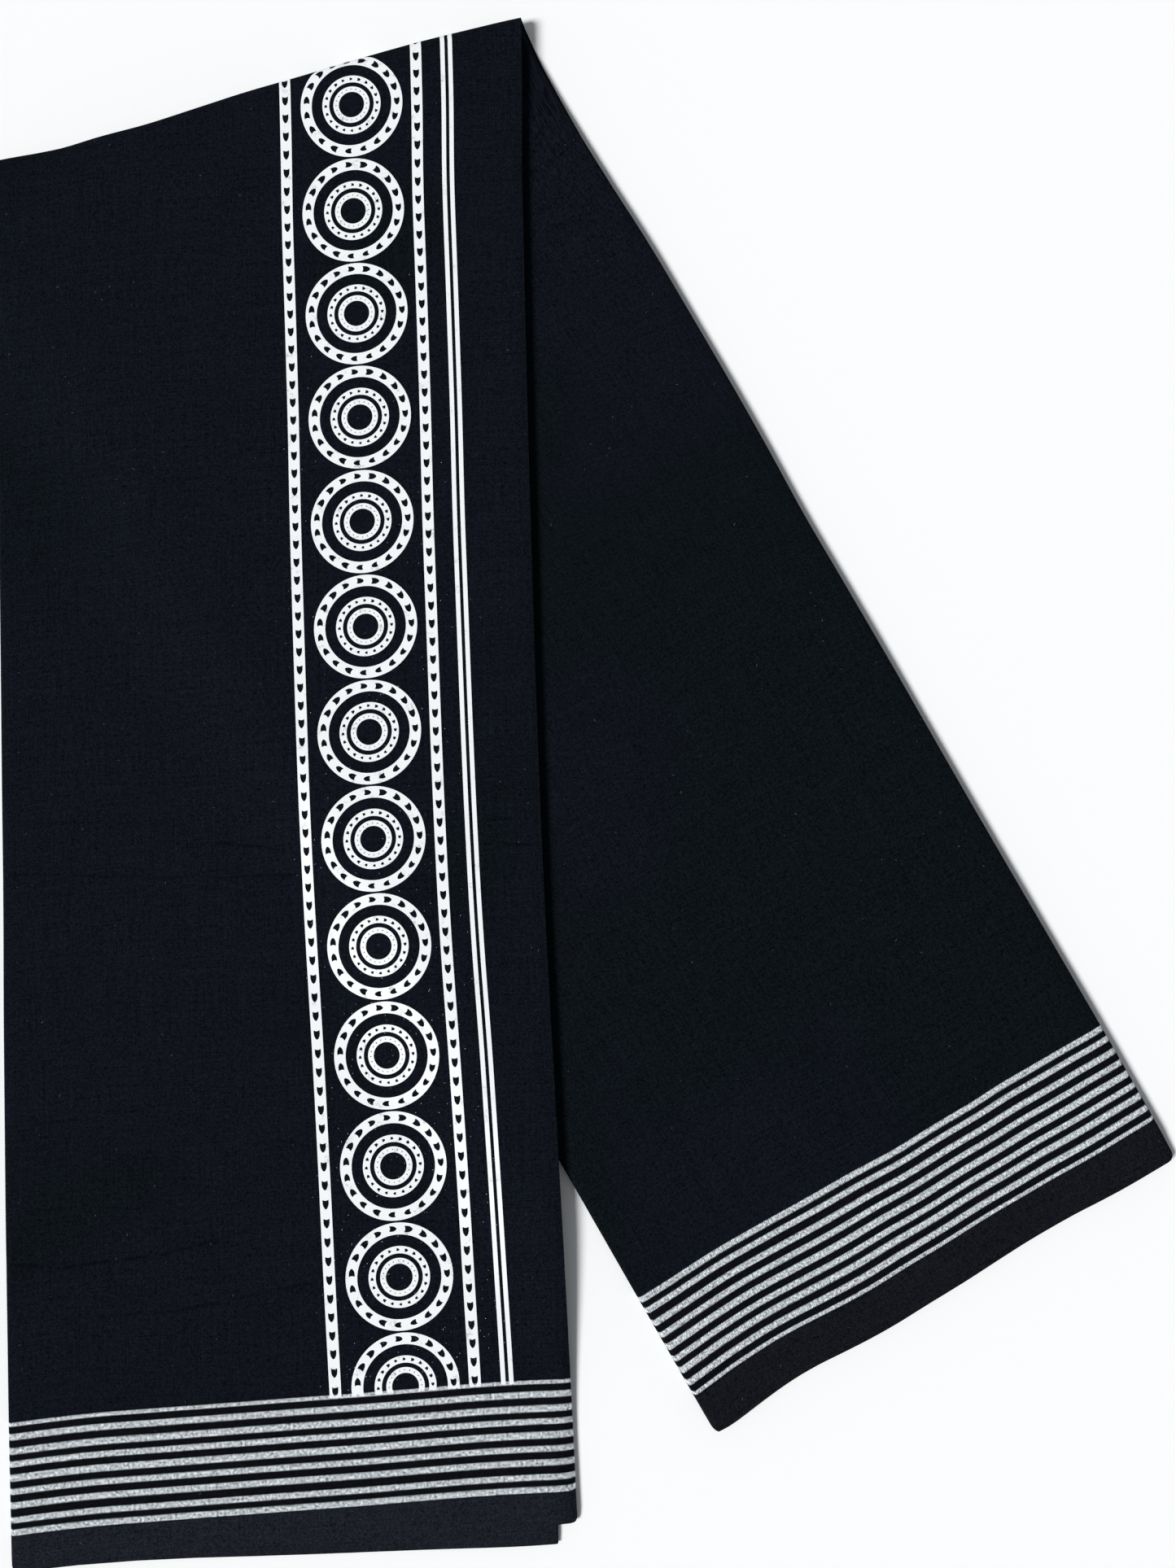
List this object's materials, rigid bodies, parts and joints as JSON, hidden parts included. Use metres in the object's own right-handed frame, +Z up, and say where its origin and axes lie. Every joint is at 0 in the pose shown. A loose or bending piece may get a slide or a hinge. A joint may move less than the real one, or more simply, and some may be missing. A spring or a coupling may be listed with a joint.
{
  "type": "lungi",
  "caption": "Folded cotton lungi lying flat: a long strip of dark cloth turned over on a slant into two spread legs, with a medallion print band and pale woven hem stripes.",
  "frame": {"origin": "on the floor under the centre of the folded cloth's bounding box", "axes": "+Z up from the floor, +Y from the hems toward the slanted fold, +X toward the leg that lies underneath"},
  "size_m": [0.5292, 0.6932, 0.0091],
  "materials": {
    "printed_cotton": "matt plain weave, off-white pigment print and woven stripes",
    "striped_cotton": "matt plain weave with woven off-white stripes",
    "plain_cotton": "matt plain weave",
    "inner_cotton": "matt plain weave, folded edges"
  },
  "bodies": {
    "root": {"front_printed_layer": "printed_cotton", "front_hidden_layers": "inner_cotton", "front_under_layer": "plain_cotton", "back_face_layer": "striped_cotton", "back_hidden_layers": "inner_cotton", "back_under_layer": "plain_cotton"}
  },
  "joints": []
}
